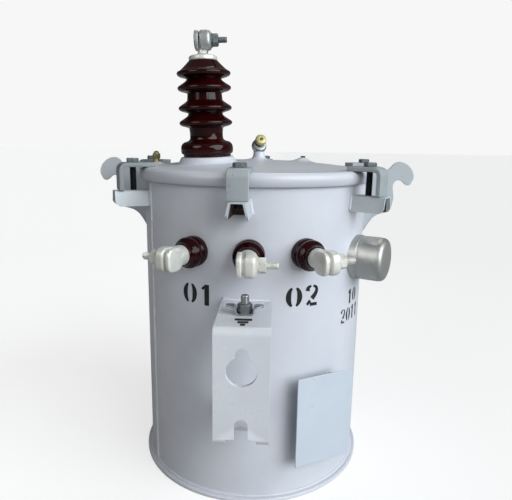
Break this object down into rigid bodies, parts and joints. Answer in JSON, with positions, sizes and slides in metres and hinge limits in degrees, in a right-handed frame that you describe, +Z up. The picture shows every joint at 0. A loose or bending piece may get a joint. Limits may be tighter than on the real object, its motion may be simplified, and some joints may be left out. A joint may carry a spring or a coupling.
{
  "type": "pole mounted transformer",
  "caption": "Pole mounted single-phase transformer: round grey tank, clamped domed cover, tall dark bushing, side bushings and a hanger bracket.",
  "frame": {"origin": "centre of the tank's base, on the tank's axis", "axes": "+Z up along the tank's axis, -Y out of the hanger bracket's face, +X towards the round side cap"},
  "size_m": [0.5836, 0.5794, 0.7681],
  "materials": {
    "grey_paint": "semi-gloss",
    "grey_paint_dark": "semi-gloss",
    "pale_paint": "semi-gloss",
    "dark_steel": "satin",
    "gasket_rubber": "matte",
    "dark_glaze": "gloss",
    "maroon_glaze": "gloss",
    "tinned_metal": "satin",
    "plated_steel": "satin",
    "brass": "satin",
    "bare_aluminium": "satin"
  },
  "bodies": {
    "root": {"clamp_bolt_front": "dark_steel", "clamp_bolt_left": "dark_steel", "clamp_bolt_rear": "dark_steel", "clamp_bolt_rear_left": "dark_steel", "clamp_bolt_rear_right": "dark_steel", "clamp_bolt_right": "dark_steel", "clamp_lug_front": "grey_paint", "clamp_lug_left": "grey_paint", "clamp_lug_rear": "grey_paint", "clamp_lug_rear_left": "grey_paint", "clamp_lug_rear_right": "grey_paint", "clamp_lug_right": "grey_paint", "cover_clamp_front": "grey_paint_dark", "cover_clamp_left": "grey_paint_dark", "cover_clamp_rear": "grey_paint_dark", "cover_clamp_rear_left": "grey_paint_dark", "cover_clamp_rear_right": "grey_paint_dark", "cover_clamp_right": "grey_paint_dark", "cover_gasket": "gasket_rubber", "filler_plug": "brass", "ground_clip": "plated_steel", "ground_stud": "plated_steel", "hanger_bracket": "pale_paint", "hv_bushing": "dark_glaze", "hv_cap": "tinned_metal", "hv_terminal": "tinned_metal", "lifting_hook_left": "grey_paint", "lifting_hook_right": "grey_paint", "lv_bushing_1": "maroon_glaze", "lv_bushing_2": "maroon_glaze", "lv_bushing_3": "maroon_glaze", "lv_terminal_1": "tinned_metal", "lv_terminal_2": "tinned_metal", "lv_terminal_3": "tinned_metal", "side_cap": "bare_aluminium", "side_cap_collar": "bare_aluminium", "side_panel": "grey_paint", "tank_bottom": "grey_paint", "tank_cover": "grey_paint", "tank_wall": "grey_paint", "vent_head": "plated_steel", "vent_plug": "brass", "vent_stub": "grey_paint"}
  },
  "joints": []
}
